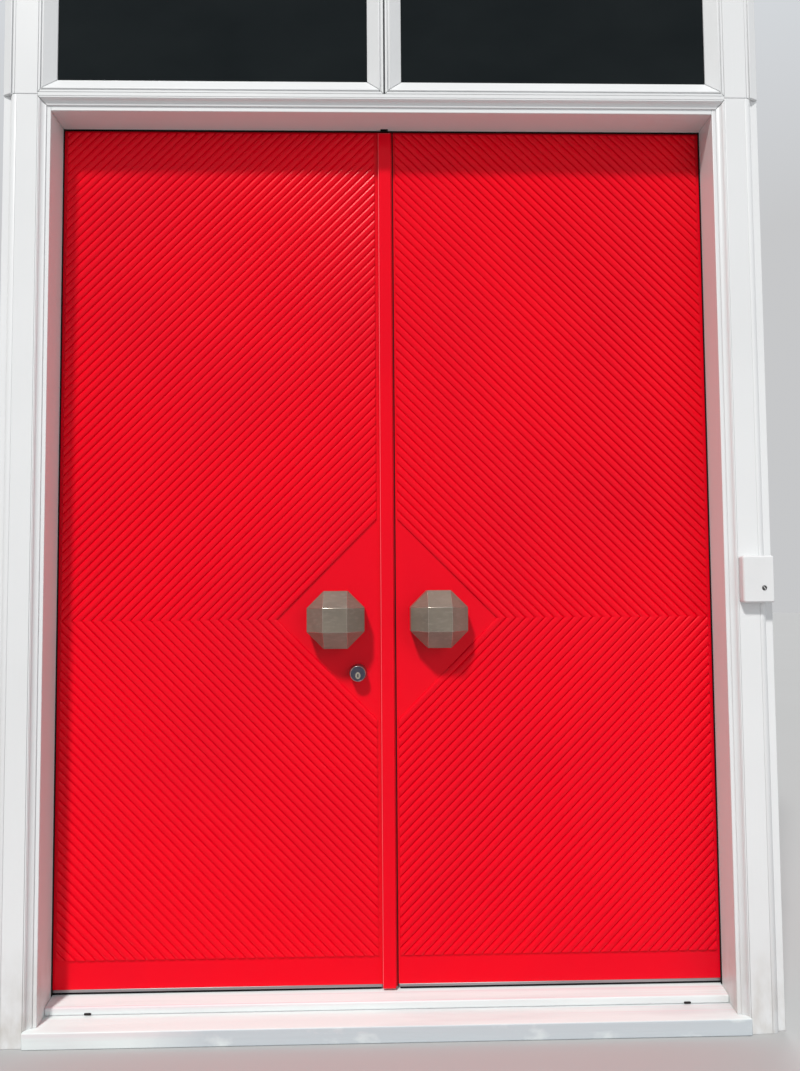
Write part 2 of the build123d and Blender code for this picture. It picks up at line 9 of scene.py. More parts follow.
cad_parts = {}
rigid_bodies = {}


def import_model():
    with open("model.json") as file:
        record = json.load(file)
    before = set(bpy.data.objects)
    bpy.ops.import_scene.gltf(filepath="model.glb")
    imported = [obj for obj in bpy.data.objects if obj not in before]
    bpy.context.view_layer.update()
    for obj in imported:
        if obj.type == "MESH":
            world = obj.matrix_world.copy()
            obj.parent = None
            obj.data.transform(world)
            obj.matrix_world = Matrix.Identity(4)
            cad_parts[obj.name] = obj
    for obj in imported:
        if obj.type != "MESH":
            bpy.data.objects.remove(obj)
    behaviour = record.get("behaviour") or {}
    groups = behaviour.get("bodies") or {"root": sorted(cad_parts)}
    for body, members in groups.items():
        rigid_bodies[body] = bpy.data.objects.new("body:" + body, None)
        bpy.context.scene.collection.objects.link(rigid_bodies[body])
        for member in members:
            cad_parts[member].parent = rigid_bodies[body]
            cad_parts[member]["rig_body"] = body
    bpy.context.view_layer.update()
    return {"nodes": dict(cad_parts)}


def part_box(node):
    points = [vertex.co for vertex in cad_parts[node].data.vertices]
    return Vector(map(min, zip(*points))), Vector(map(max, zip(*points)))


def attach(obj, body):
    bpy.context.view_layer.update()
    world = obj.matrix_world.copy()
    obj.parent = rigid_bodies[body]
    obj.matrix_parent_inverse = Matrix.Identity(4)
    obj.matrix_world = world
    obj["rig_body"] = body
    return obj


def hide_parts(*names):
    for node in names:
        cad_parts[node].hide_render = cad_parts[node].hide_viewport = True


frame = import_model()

# Sill: one softwood board across the foot of the frame, sloped to shed water and painted white.
# Its tread is worn to a thin grey film, with pinkish traces of the doors' red along it. Its front
# face is painted a mottled pale blue-grey as shade, fading out towards the left end.


def finish_of(name, roughness, specular=0.5, metallic=0.0):
    """A new finish, its plain numbers set on the shader and its node tree ready for a pattern."""
    material = bpy.data.materials.new(name)
    material.use_nodes = True
    tree = material.node_tree
    shader = tree.nodes["Principled BSDF"]
    shader.inputs["Roughness"].default_value = roughness
    shader.inputs["Specular IOR Level"].default_value = specular
    shader.inputs["Metallic"].default_value = metallic
    return material, tree, shader


def speckle(tree, scale, stretch=(1, 1, 1), detail=4.0):
    """Noise in the piece's own metres. A small stretch value draws it out along that axis."""
    place = tree.nodes.new("ShaderNodeTexCoord")
    turn = tree.nodes.new("ShaderNodeMapping")
    turn.inputs["Scale"].default_value = stretch
    noise = tree.nodes.new("ShaderNodeTexNoise")
    noise.inputs["Scale"].default_value = scale
    noise.inputs["Detail"].default_value = detail
    tree.links.new(place.outputs["Object"], turn.inputs["Vector"])
    tree.links.new(turn.outputs["Vector"], noise.inputs["Vector"])
    return noise.outputs["Fac"]


def place_band(tree, low, high, axis="Z"):
    """Rises from 0 at one place along an axis to 1 at another."""
    place = tree.nodes.new("ShaderNodeTexCoord")
    split = tree.nodes.new("ShaderNodeSeparateXYZ")
    band = tree.nodes.new("ShaderNodeMapRange")
    band.inputs["From Min"].default_value = low
    band.inputs["From Max"].default_value = high
    tree.links.new(place.outputs["Object"], split.inputs["Vector"])
    tree.links.new(split.outputs[axis], band.inputs["Value"])
    return band.outputs["Result"]


def between(tree, factor, low, high):
    """The part of a factor between two values, stretched to run from 0 to 1."""
    step = tree.nodes.new("ShaderNodeMapRange")
    step.inputs["From Min"].default_value = low
    step.inputs["From Max"].default_value = high
    tree.links.new(factor, step.inputs["Value"])
    return step.outputs["Result"]


def times(tree, first, second):
    """A factor multiplied by another, or by a number."""
    product = tree.nodes.new("ShaderNodeMath")
    product.operation = "MULTIPLY"
    tree.links.new(first, product.inputs[0])
    if isinstance(second, float):
        product.inputs[1].default_value = second
    else:
        tree.links.new(second, product.inputs[1])
    return product.outputs["Value"]


def blended(tree, factor, first, second):
    """Colour that goes from the first to the second with a factor."""
    mix = tree.nodes.new("ShaderNodeMix")
    mix.data_type = "RGBA"
    tree.links.new(factor, mix.inputs["Factor"])
    ends = [socket for socket in mix.inputs if socket.type == "RGBA"]
    for socket, colour in zip(ends, (first, second)):
        if isinstance(colour, tuple):
            socket.default_value = (*colour, 1)
        else:
            tree.links.new(colour, socket)
    return next(socket for socket in mix.outputs if socket.type == "RGBA")


def coloured(tree, shader, factor, first, second):
    """Gives the surface a colour that goes from the first to the second with a factor."""
    tree.links.new(blended(tree, factor, first, second), shader.inputs["Base Color"])


def raised(tree, shader, factor, distance, strength=1.0, before=None):
    """Bump of a factor, with its depth in metres, over an earlier bump if there is one."""
    bump = tree.nodes.new("ShaderNodeBump")
    bump.inputs["Distance"].default_value = distance
    bump.inputs["Strength"].default_value = strength
    tree.links.new(factor, bump.inputs["Height"])
    if before is not None:
        tree.links.new(before, bump.inputs["Normal"])
    tree.links.new(bump.outputs["Normal"], shader.inputs["Normal"])
    return bump.outputs["Normal"]


def rounded_over(bm, edges, arris, steps=2):
    """Rounds edges over, and gives the new faces."""
    return bmesh.ops.bevel(
        bm,
        geom=edges,
        offset=arris,
        offset_type="OFFSET",
        segments=steps,
        profile=0.5,
        affect="EDGES",
        material=-1,
        clamp_overlap=True,
    )["faces"]


def body_of(node):
    """The body that a CAD node moves with."""
    return frame["nodes"][node]["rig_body"]


def piece_of(name, bm, finishes, body, slot, *nodes, mesh=None):
    """Makes a bmesh a piece that rides a body, and that stands for the CAD nodes named, if any."""
    if mesh is None:
        mesh = bpy.data.meshes.new(name)
    bm.to_mesh(mesh)
    bm.free()
    for finish in finishes:
        mesh.materials.append(finish)
    piece = bpy.data.objects.new(name, mesh)
    bpy.context.scene.collection.objects.link(piece)
    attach(piece, body)
    if nodes:
        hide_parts(*nodes)
    return piece


same_point = 1e-6
same_plane, least_curve, crease = math.radians(0.5), math.radians(1), math.radians(20)


def eased(node, arris, slot, finish, edge_finish=None, steps=2, reshape=None):
    """A piece like its CAD solid, with the arrises rounded over as paint and use leave them."""
    mesh = frame["nodes"][node].data.copy()
    mesh.materials.clear()
    bm = bmesh.new()
    bm.from_mesh(mesh)
    bmesh.ops.remove_doubles(bm, verts=bm.verts, dist=same_point)
    bmesh.ops.dissolve_limit(bm, angle_limit=same_plane, verts=bm.verts, edges=bm.edges)
    if reshape is not None:
        reshape(bm)
    for face in bm.faces:
        turns = [edge.calc_face_angle(0) for edge in face.edges]
        face.smooth = any(least_curve < turn < crease for turn in turns)
    arrises = [edge for edge in bm.edges if edge.calc_face_angle(0) > crease]
    for face in rounded_over(bm, arrises, arris, steps):
        face.smooth = True
        if edge_finish is not None:
            face.material_index = 1
    finishes = (finish,) if edge_finish is None else (finish, edge_finish)
    return piece_of(node + "_finished", bm, finishes, body_of(node), slot, node, mesh=mesh)


sill_white = (0.725, 0.775, 0.77)
sill_grey = (0.62, 0.63, 0.64)
sill_pink = (0.72, 0.59, 0.62)
sill_front_shade_blue = (0.515, 0.56, 0.59)
sill_pink_share = 0.6
sill_edge, sill_face = -0.1105, -0.1115
blue_starts, blue_full = -0.56, -0.40
sill_arris = 0.0025
sill_paint, tree, shader = finish_of("worn_sill_paint", 0.5, 0.4)
patches = between(tree, speckle(tree, 5.0, (0.35, 3.0, 1.0), 6.0), 0.50, 0.72)
bare = blended(tree, patches, sill_white, sill_grey)
streaks = between(tree, speckle(tree, 9.0, (0.05, 24.0, 3.0), 5.0), 0.58, 0.68)
traces = blended(tree, times(tree, streaks, sill_pink_share), bare, sill_pink)
mottled = between(tree, speckle(tree, 22.0, (0.6, 1, 1), 9.0), 0.22, 0.44)
# Painted shade: the front face goes a mottled pale blue-grey, except towards the left end.
front = times(tree, place_band(tree, sill_edge, sill_face, "Y"), mottled)
front = times(tree, front, place_band(tree, blue_starts, blue_full, "X"))
coloured(tree, shader, front, traces, sill_front_shade_blue)
grain = raised(tree, shader, speckle(tree, 40.0, (0.1, 3.0, 3.0)), 0.0006, 0.5)
raised(tree, shader, patches, 0.0004, 0.6, grain)
eased("sill", sill_arris, "white_paint", sill_paint)

# Threshold: a raised board screwed on the sill under the leaves, its nose sloped outwards.
# It has the sill's white paint, rubbed thin in patches and streaked along with the doors' red.
threshold_white = (0.725, 0.770, 0.768)
threshold_grey = (0.66, 0.685, 0.685)
threshold_pink = (0.71, 0.57, 0.60)
threshold_pink_share = 0.7
threshold_arris = 0.003
threshold_paint, tree, shader = finish_of("worn_threshold_paint", 0.45, 0.4)
rubbed = between(tree, speckle(tree, 7.0, (0.25, 4.0, 2.0), 6.0), 0.50, 0.70)
pinked = between(tree, speckle(tree, 6.0, (0.07, 24.0, 4.0), 5.0), 0.56, 0.67)
thinned = blended(tree, rubbed, threshold_white, threshold_grey)
coloured(tree, shader, times(tree, pinked, threshold_pink_share), thinned, threshold_pink)
raised(tree, shader, speckle(tree, 40.0, (0.1, 3.0, 3.0)), 0.0005, 0.5)
eased("threshold", threshold_arris, "white_paint", threshold_paint)

# Weeps: two short slots at the foot of the threshold's nose, which let the rain out to the sill.
# Each is a metal eyelet pressed into the board, its face slightly dished, dull, and painted
# near-black as the shade inside the slot.
weep_length, weep_height = 0.016, 0.005
weep_side, weep_nose, weep_level = 0.6693, -0.048, 0.0452
weep_root, weep_depth = 0.002, 0.0030
weep_rim, weep_dish = 0.0005, 0.0004
weep_shade_black, weep_shade_grey = (0.012, 0.010, 0.011), (0.035, 0.030, 0.030)
facing_out = Matrix.Rotation(math.radians(90), 3, "X")
# Painted shade: the eyelets' near-black stands for the shade inside the slots.
weep_shade_metal, tree, shader = finish_of("weep_painted_shade", 0.7, 0.2, 0.2)
coloured(tree, shader, speckle(tree, 300.0), weep_shade_black, weep_shade_grey)
bm = bmesh.new()
for side in (-1, 1):
    weep = bmesh.ops.create_circle(bm, cap_ends=True, segments=24, radius=weep_height / 2)["verts"]
    for vert in weep:
        vert.co.x += math.copysign((weep_length - weep_height) / 2, vert.co.x)
    bmesh.ops.rotate(bm, matrix=facing_out, verts=weep)
    weep_seat = (side * weep_side, weep_nose + weep_root, weep_level)
    bmesh.ops.translate(bm, vec=weep_seat, verts=weep)
    body = bmesh.ops.extrude_face_region(bm, geom=[weep[0].link_faces[0]])["geom"]
    grown = [part for part in body if isinstance(part, bmesh.types.BMVert)]
    bmesh.ops.translate(bm, vec=(0, -weep_depth, 0), verts=grown)
    lid = [part for part in body if isinstance(part, bmesh.types.BMFace)]
    bmesh.ops.inset_region(bm, faces=lid, thickness=weep_rim)
    dished = list({vert for part in lid for vert in part.verts})
    bmesh.ops.translate(bm, vec=(0, weep_dish, 0), verts=dished)
bmesh.ops.recalc_face_normals(bm, faces=bm.faces)
piece_of("threshold_weeps", bm, [weep_shade_metal], body_of("threshold"), "bell_metal")

# Rebated linings, posts and transom rails: planed softwood under many coats of white paint.
# Brush marks run along each board, and splashed rain has greyed the lowest part.


def board_paint(name, along, colour, soiled):
    """White brushed paint whose marks run up the board or across it."""
    shaded = tuple(0.93 * part for part in colour)
    splash_grey, splash_share = (0.42, 0.38, 0.33), 0.55
    clean_above, dirty_below = 0.22, 0.02
    paint, tree, shader = finish_of(name, 0.36, 0.45)
    stretch = (6.0, 6.0, 0.15) if along == "up" else (0.15, 6.0, 6.0)
    marks = speckle(tree, 22.0, stretch, 5.0)
    broad = between(tree, speckle(tree, 1.6, detail=3.0), 0.35, 0.70)
    base = blended(tree, broad, colour, shaded)
    if soiled:
        dirt = between(tree, speckle(tree, 30.0, (1, 1, 0.5), 8.0), 0.38, 0.66)
        splash = times(tree, place_band(tree, clean_above, dirty_below), dirt)
        base = blended(tree, times(tree, splash, splash_share), base, splash_grey)
    tree.links.new(base, shader.inputs["Base Color"])
    brushed = raised(tree, shader, marks, 0.00035, 0.5)
    raised(tree, shader, speckle(tree, 3.0, detail=2.0), 0.0015, 0.3, brushed)
    return paint


def edged(lining, edge_paint):
    """Gives the lining's outer and inner edges the paint of the boards beside them."""
    lining.data.materials.append(edge_paint)
    for face in lining.data.polygons:
        if abs(face.normal.y) > 0.5:
            face.material_index = 1


board_arris = 0.0012
mullion_arris = 0.0010
# Painted light: the linings' white is tinted cool to take out the red light the leaves throw on it.
board_white, lining_white_against_bounce = (0.74, 0.75, 0.755), (0.705, 0.770, 0.765)
upright_paint = board_paint("upright_board_paint", "up", board_white, True)
level_paint = board_paint("level_board_paint", "across", board_white, False)
upright_lining_against_bounce = board_paint("upright_lining_paint_against_bounce", "up", lining_white_against_bounce, True)
level_lining_against_bounce = board_paint("level_lining_paint_against_bounce", "across", lining_white_against_bounce, False)
for node in ("left_jamb", "right_jamb"):
    edged(eased(node, board_arris, "white_paint", upright_lining_against_bounce), upright_paint)
edged(eased("head_jamb", board_arris, "white_paint", level_lining_against_bounce), level_paint)
for node in ("left_post", "right_post", "left_upper_post", "right_upper_post"):
    eased(node, board_arris, "white_paint", upright_paint)
for node in ("transom_bar", "transom_head"):
    eased(node, board_arris, "white_paint", level_paint)
eased("transom_mullion", mullion_arris, "white_paint", upright_paint)

# Casings and mouldings: thin boards and moulded strips nailed on the faces of the frame.
# They are mitred at the doorway's corners, and paint has softened every edge of them.
casing_arris = 0.0012
moulding_arris = 0.0006
bead_arris = 0.0008
eased("side_casings", casing_arris, "white_paint", upright_paint)
eased("head_casing", casing_arris, "white_paint", level_paint)
eased("side_mouldings", moulding_arris, "white_paint", upright_paint)
eased("head_moulding", moulding_arris, "white_paint", level_paint)
eased("outer_mouldings", bead_arris, "white_paint", upright_paint)
eased("transom_stops", bead_arris, "white_paint", level_paint)

# Transom glass: a pane of float glass in each light, with a faint film of dust. Its near-black is
# painted shade, for the dark room behind it.
# The panes are bedded between the rear rebate and the splayed stops.
clean_glass_shade, dusty_glass_shade = (0.0030, 0.0055, 0.0065), (0.0090, 0.0125, 0.0135)
pane_arris = 0.0005
pane_glass_shade, tree, shader = finish_of("pane_glass_painted_shade", 0.02, 0.14)
dust = between(tree, speckle(tree, 3.0, (1, 1, 1.6), 7.0), 0.35, 0.85)
coloured(tree, shader, dust, clean_glass_shade, dusty_glass_shade)
raised(tree, shader, speckle(tree, 1.5, detail=1.0), 0.0008, 0.15)
eased("transom_glass", pane_arris, "glass", pane_glass_shade)

# Weatherstrip: a black rubber lip pressed into the rear corner of the stops, its free edge at the
# leaves; its black, drawn out over the gap to the leaves, is also painted shade for that gap. It is
# dusty, and a pad of the same black, painted shade, closes the head's notch over the meeting strip.
lip_swell = 0.0007
lip_clear = 0.0008
lip_height = 0.005
lip_arris = 0.0004
side_margin, rear_margin = 0.0005, 0.0001
pad_half_width = 0.0100
pad_height = 0.0075
pad_lap, pad_setback = 0.0005, 0.0002
pad_arris = 0.0005
rubber_and_shade_black, rubber_and_shade_grey = (0.006, 0.005, 0.005), (0.014, 0.012, 0.012)
strip_rubber_and_shade, tree, shader = finish_of("weatherstrip_rubber_and_shade", 0.85, 0.15)
coloured(tree, shader, speckle(tree, 30.0, (1, 1, 0.3)), rubber_and_shade_black, rubber_and_shade_grey)
raised(tree, shader, speckle(tree, 90.0, (1, 1, 0.1)), 0.0002, 0.4)
seal_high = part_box("weatherstrip")[1]


def swollen(bm):
    """Draws the lip's free side a little into the doorway, and its rear edge back to the leaves."""
    for vert in bm.verts:
        inside = abs(vert.co.x) < seal_high.x - side_margin
        beneath = vert.co.z < seal_high.z - side_margin
        if inside:
            vert.co.x -= math.copysign(lip_swell, vert.co.x)
        if inside and beneath and vert.co.z > seal_high.z - lip_height:
            vert.co.z -= lip_swell
        if vert.co.y > seal_high.y - rear_margin:
            vert.co.y = -lip_clear


def bar_of(size, middle):
    """A square bar, whose edges are then rounded over."""
    bm = bmesh.new()
    bmesh.ops.create_cube(bm, size=1.0)
    bmesh.ops.scale(bm, vec=size, verts=bm.verts)
    bmesh.ops.translate(bm, vec=middle, verts=bm.verts)
    return bm


eased("weatherstrip", lip_arris, "seal", strip_rubber_and_shade, steps=1, reshape=swollen)
# Painted shade: the pad is a black block where the head's notch lies in shade.
pad_front = seal_high.y + pad_setback
pad_size = (2 * pad_half_width, -lip_clear - pad_front, pad_height)
pad_middle = (0, (pad_front - lip_clear) / 2, seal_high.z + pad_height / 2 - pad_lap)
bm = bar_of(pad_size, pad_middle)
rounded_over(bm, bm.edges[:], pad_arris)
piece_of("notch_pad", bm, [strip_rubber_and_shade], body_of("weatherstrip"), "seal")

# Leaves: flush solid-core slabs under thick red lacquer, with a soft gloss.
# The coats have sagged into a slight waviness, with a fine orange-peel on top.


def lacquer(name, peel):
    """Red gloss lacquer with slow waves and a fine peel in the reflections."""
    full_red, thin_red = (0.80, 0.0006, 0.0115), (0.71, 0.0008, 0.013)
    glossiest, usual, dullest = 0.12, 0.16, 0.24
    paint, tree, shader = finish_of(name, usual, 0.16)
    worn = between(tree, speckle(tree, 2.2, detail=6.0), 0.40, 0.75)
    coloured(tree, shader, worn, full_red, thin_red)
    gloss = tree.nodes.new("ShaderNodeMapRange")
    gloss.inputs["To Min"].default_value = glossiest
    gloss.inputs["To Max"].default_value = dullest
    tree.links.new(speckle(tree, 6.0, detail=6.0), gloss.inputs["Value"])
    tree.links.new(gloss.outputs["Result"], shader.inputs["Roughness"])
    waves = raised(tree, shader, speckle(tree, 5.0, detail=2.0), 0.0012, 0.25)
    raised(tree, shader, speckle(tree, 320.0, detail=2.0), 0.00012, peel, waves)
    return paint


leaf_arris = 0.0006
leaf_lacquer = lacquer("red_leaf_lacquer", 0.35)
for node in ("left_leaf", "right_leaf"):
    eased(node, leaf_arris, "red_lacquer", leaf_lacquer)

# Meeting seal: a slim hardwood tongue on the left leaf's edge, lacquered with it, and a black
# rubber lip. Both taper, so that either leaf swings past the other. A soft fin on the right leaf
# closes the rest of the gap.
# Painted shade: the black of the lip and the fin stands for the dark gap between the leaves.
tongue_reach = 0.0180
tongue_front, tongue_depth = 0.0015, 0.0385
tongue_taper, tongue_arris = 0.0009, 0.0004
lip_lap, lip_gap = 0.0012, 0.00035
lip_front, lip_depth = 0.0022, 0.012
lip_taper = 0.0006
fin_reach, fin_root = 0.0190, 0.0225
fin_front, fin_depth = 0.0165, 0.0020
rubber_arris = 0.0003
foot_gap, top_gap = 0.0005, 0.001
gap_shade_black, gap_shade_grey = (0.012, 0.009, 0.010), (0.028, 0.018, 0.020)
leaf_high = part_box("left_leaf")[1]
other_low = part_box("right_leaf")[0]
strip_low, strip_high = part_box("meeting_strip")
gap_shade_rubber, tree, shader = finish_of("meeting_gap_painted_shade", 0.75, 0.2)
coloured(tree, shader, speckle(tree, 40.0, (1, 1, 0.2)), gap_shade_black, gap_shade_grey)
raised(tree, shader, speckle(tree, 120.0, (1, 1, 0.1)), 0.0001, 0.4)


def meeting_piece(name, body, slot, finish, across, front, depth, taper, arris):
    """A long upright fillet in the gap between the leaves, tapered to the rear on its free side."""
    foot, top = strip_low.z + foot_gap, leaf_high.z - top_gap
    x_from, x_to = across
    middle = Vector(((x_from + x_to) / 2, front + depth / 2, (foot + top) / 2))
    bm = bar_of((x_to - x_from, depth, top - foot), middle)
    rear = [vert for vert in bm.verts if vert.co.x > middle.x and vert.co.y > middle.y]
    bmesh.ops.translate(bm, vec=(-taper, 0, 0), verts=rear)
    tip = [edge for edge in bm.edges if all(vert.co.x > middle.x for vert in edge.verts)]
    rounded_over(bm, tip, arris)
    piece_of(name, bm, [finish], body, slot)


meeting_piece(
    "meeting_tongue",
    "left_door",
    "red_lacquer",
    leaf_lacquer,
    across=(leaf_high.x, tongue_reach),
    front=tongue_front,
    depth=tongue_depth,
    taper=tongue_taper,
    arris=tongue_arris,
)
meeting_piece(
    "meeting_lip",
    "left_door",
    "seal",
    gap_shade_rubber,
    across=(tongue_reach - lip_lap, other_low.x - lip_gap),
    front=lip_front,
    depth=lip_depth,
    taper=lip_taper,
    arris=rubber_arris,
)
meeting_piece(
    "meeting_fin",
    "right_door",
    "seal",
    gap_shade_rubber,
    across=(fin_reach, fin_root),
    front=fin_front,
    depth=fin_depth,
    taper=0.0,
    arris=rubber_arris,
)

# Reeded fields: sheets of parallel rounded reeds, glued on the leaves and mitred level with the
# knobs. The reeds run at 45 degrees, side by side, round a plain diamond that spans both leaves.
reed_pitch = 0.016
reed_rise = 0.0045
reed_ground = 0.0008
reed_steps = 12
reed_fullness = 0.9
reed_unevenness = 0.00018
reed_slack = 1e-4
sheet_spare, sheet_diagonal, sheet_length = 1.5, 1.42, 4
diamond_half = 0.257
knob_height = 0.910
cut_slack = 1e-7
reed_lacquer = lacquer("red_reed_lacquer", 0.5)


def reeded(node, left, upper):
    """One field: a grid raised into reeds, turned to 45 degrees, trimmed square and backed."""
    low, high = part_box(node)
    reach = sheet_spare * max(high.x - low.x, high.z - low.z)
    count = int(sheet_diagonal * reach / reed_pitch)
    bm = bmesh.new()
    bmesh.ops.create_grid(bm, x_segments=1, y_segments=count * reed_steps, size=0.5)
    rng = random.Random(7)
    lift = [rng.uniform(-reed_unevenness, 0.0) for _ in range(count)]
    for vert in bm.verts:
        across = (vert.co.y + 0.5) * count
        reed = min(int(across + reed_slack), count - 1)
        turn = min(max(across - reed, 0.0), 1.0)
        swell = math.sqrt(max(0.0, 1 - (2 * turn - 1) ** 2)) ** reed_fullness
        rise = reed_ground + swell * (reed_rise + lift[reed])
        vert.co = Vector((vert.co.x * sheet_length * reach, across * reed_pitch, -rise))
    for edge in bm.edges:
        here, there = (vert.co.y / reed_pitch for vert in edge.verts)
        valley = abs(here - there) < reed_slack and abs(here - round(here)) < reed_slack
        edge.smooth = not valley
    for face in bm.faces:
        face.smooth = True
    side, way = (-1 if left else 1), (1 if upper else -1)
    start = diamond_half / math.sqrt(2)
    out = Vector((side, 0, way)).normalized()
    along = Vector((-side, 0, way)).normalized()
    seat = Matrix((
        (along.x, out.x, 0, out.x * start),
        (0, 0, 1, 0),
        (along.z, out.z, 0, out.z * start + knob_height),
        (0, 0, 0, 1),
    ))
    bmesh.ops.transform(bm, matrix=seat, verts=bm.verts)
    for point, away in (
        ((low.x, 0, 0), (-1, 0, 0)),
        ((high.x, 0, 0), (1, 0, 0)),
        ((0, 0, low.z), (0, 0, -1)),
        ((0, 0, high.z), (0, 0, 1)),
    ):
        bmesh.ops.bisect_plane(
            bm,
            geom=bm.verts[:] + bm.edges[:] + bm.faces[:],
            plane_co=point,
            plane_no=away,
            clear_outer=True,
            dist=cut_slack,
        )
    rim = [edge for edge in bm.edges if edge.is_boundary]
    skirt = bmesh.ops.extrude_edge_only(bm, edges=rim)["geom"]
    for vert in (part for part in skirt if isinstance(part, bmesh.types.BMVert)):
        vert.co.y = 0.0
    foot = [part for part in skirt if isinstance(part, bmesh.types.BMEdge) and part.is_boundary]
    for part in skirt:
        if isinstance(part, bmesh.types.BMFace):
            part.smooth = False
    bmesh.ops.edgeloop_fill(bm, edges=foot)
    bmesh.ops.recalc_face_normals(bm, faces=bm.faces)
    piece_of(node + "_finished", bm, [reed_lacquer], body_of(node), "red_lacquer", node)


reeded("left_upper_reeds", True, True)
reeded("left_lower_reeds", True, False)
reeded("right_upper_reeds", False, True)
reeded("right_lower_reeds", False, False)

# Meeting strip: a flat square-edged batten on the left leaf that laps the gap between the leaves.
# It is lacquered with the doors, and its left front edge is painted a paler line, as a highlight.
highlight_red, highlight_pink = (0.86, 0.045, 0.065), (0.88, 0.19, 0.22)
strip_arris = 0.0012
strip_lacquer = lacquer("red_strip_lacquer", 0.3)
highlight_lacquer, tree, shader = finish_of("strip_edge_painted_highlight", 0.30, 0.35)
coloured(tree, shader, speckle(tree, 14.0, (1, 1, 0.6), 5.0), highlight_red, highlight_pink)
strip = eased("meeting_strip", strip_arris, "red_lacquer", strip_lacquer, highlight_lacquer)
for face in strip.data.polygons:
    if face.material_index == 1 and face.center.x > (strip_low.x + strip_high.x) / 2:
        face.material_index = 0

# Shoes: a plain aluminium channel under each leaf, scuffed and dulled.
# It covers the slab's lower edge over the threshold.
clean_aluminium, scuffed_aluminium = (0.42, 0.41, 0.42), (0.27, 0.25, 0.26)
shoe_arris = 0.0008
shoe_finish, tree, shader = finish_of("dull_shoe_aluminium", 0.42, 0.5, 0.85)
scuffs = between(tree, speckle(tree, 30.0, (0.1, 2.0, 2.0), 6.0), 0.35, 0.70)
coloured(tree, shader, scuffs, clean_aluminium, scuffed_aluminium)
raised(tree, shader, speckle(tree, 60.0, (0.05, 3.0, 3.0)), 0.0002, 0.5)
for node in ("left_shoe", "right_shoe"):
    eased(node, shoe_arris, "shoe_metal", shoe_finish)

# Shoe seals: a rubber strip let into the underside of each shoe, close behind its front edge. It
# fills the gap over the threshold, and its black is painted shade for that gap. It stops just short
# of the board, so as not to drag.
seal_inset = 0.0012
seal_thick = 0.018
seal_clear = 0.0006
seal_root = 0.0010
seal_end = 0.0020
seal_round = 0.0010
shoe_gap_shade_black, shoe_gap_shade_grey = (0.005, 0.004, 0.005), (0.012, 0.010, 0.012)
board_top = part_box("threshold")[1].z
shoe_gap_shade_rubber, tree, shader = finish_of("shoe_seal_painted_shade", 0.85, 0.1)
coloured(tree, shader, speckle(tree, 50.0, (0.2, 1, 1)), shoe_gap_shade_black, shoe_gap_shade_grey)
raised(tree, shader, speckle(tree, 150.0, (0.1, 1, 1)), 0.0001, 0.4)
for node in ("left_shoe", "right_shoe"):
    shoe_low, shoe_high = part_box(node)
    seal_size = Vector((
        shoe_high.x - shoe_low.x - 2 * seal_end,
        seal_thick,
        shoe_low.z + seal_root - board_top - seal_clear,
    ))
    seal_middle = Vector((
        (shoe_low.x + shoe_high.x) / 2,
        shoe_low.y + seal_inset + seal_thick / 2,
        board_top + seal_clear + seal_size.z / 2,
    ))
    bm = bar_of(seal_size, seal_middle)
    drip = [edge for edge in bm.edges if all(vert.co.z < seal_middle.z for vert in edge.verts)]
    rounded_over(bm, drip, seal_round, steps=3)
    piece_of(node + "_seal", bm, [shoe_gap_shade_rubber], body_of(node), "seal")

# Knobs: faceted metal castings, ground flat and screwed through the leaves back to back.
# The edges of the facets are paler, partly where the brown-grey patina is rubbed away and partly
# as a painted highlight.
deep_brown, dull_brown = (0.240, 0.200, 0.158), (0.190, 0.160, 0.128)
pale_brown = (0.265, 0.225, 0.185)
edge_pale_and_highlight, edge_brown = (0.50, 0.43, 0.37), (0.34, 0.285, 0.24)
knob_arris = 0.0005
patina, tree, shader = finish_of("aged_knob_metal", 0.30, 0.45, 0.35)
cloud = between(tree, speckle(tree, 18.0, detail=7.0), 0.32, 0.70)
fine = speckle(tree, 60.0, (1, 1, 3.0), 3.0)
brown = blended(tree, cloud, deep_brown, dull_brown)
coloured(tree, shader, between(tree, fine, 0.50, 0.80), brown, pale_brown)
raised(tree, shader, fine, 0.00012, 0.2)
edge_wear_and_highlight, tree, shader = finish_of("knob_edge_wear_and_highlight", 0.26, 0.5, 0.8)
coloured(tree, shader, speckle(tree, 120.0), edge_pale_and_highlight, edge_brown)
for node in ("left_knobs", "right_knobs"):
    eased(node, knob_arris, "aged_bronze", patina, edge_wear_and_highlight)

# Lock cylinder: a tapered guard collar over the cylinder's face, with the plug set low in it.
# The steel has gone dark blue-grey, and keys have scraped the plug bright. The front rim is
# painted paler, as a highlight.
face_radius = 0.0174
rim_width = 0.0009
rim_depth = 0.0008
rim_band_depth = 0.0022
flat_inside = 0.0004
plug_half_width, plug_half_height = 0.0061, 0.0080
plug_length, plug_bevel, plug_crown = 0.0036, 0.0005, 0.0004
plug_back, plug_drop = 0.0022, 0.0042
key_half_width, key_half_height = 0.0015, 0.0036
keyway_depth = 0.0034
front_slack, side_slack = 1e-4, 1e-5
turn_arris = 0.0010
collar_blue, collar_grey = (0.22, 0.22, 0.25), (0.36, 0.35, 0.37)
face_blue, face_violet = (0.055, 0.055, 0.085), (0.105, 0.095, 0.125)
brass_bright, brass_dull = (0.62, 0.56, 0.46), (0.46, 0.41, 0.34)
rim_dark, rim_pale_highlight = (0.24, 0.23, 0.24), (0.56, 0.49, 0.46)
keyway_shade_black, keyway_shade_brown = (0.006, 0.005, 0.004), (0.016, 0.013, 0.010)
collar_low, collar_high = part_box("lock_collar")
collar_base = (collar_high.x - collar_low.x) / 2
collar_length = collar_high.y - collar_low.y
lock_middle = Vector((
    (collar_low.x + collar_high.x) / 2,
    0,
    (collar_low.z + collar_high.z) / 2,
))
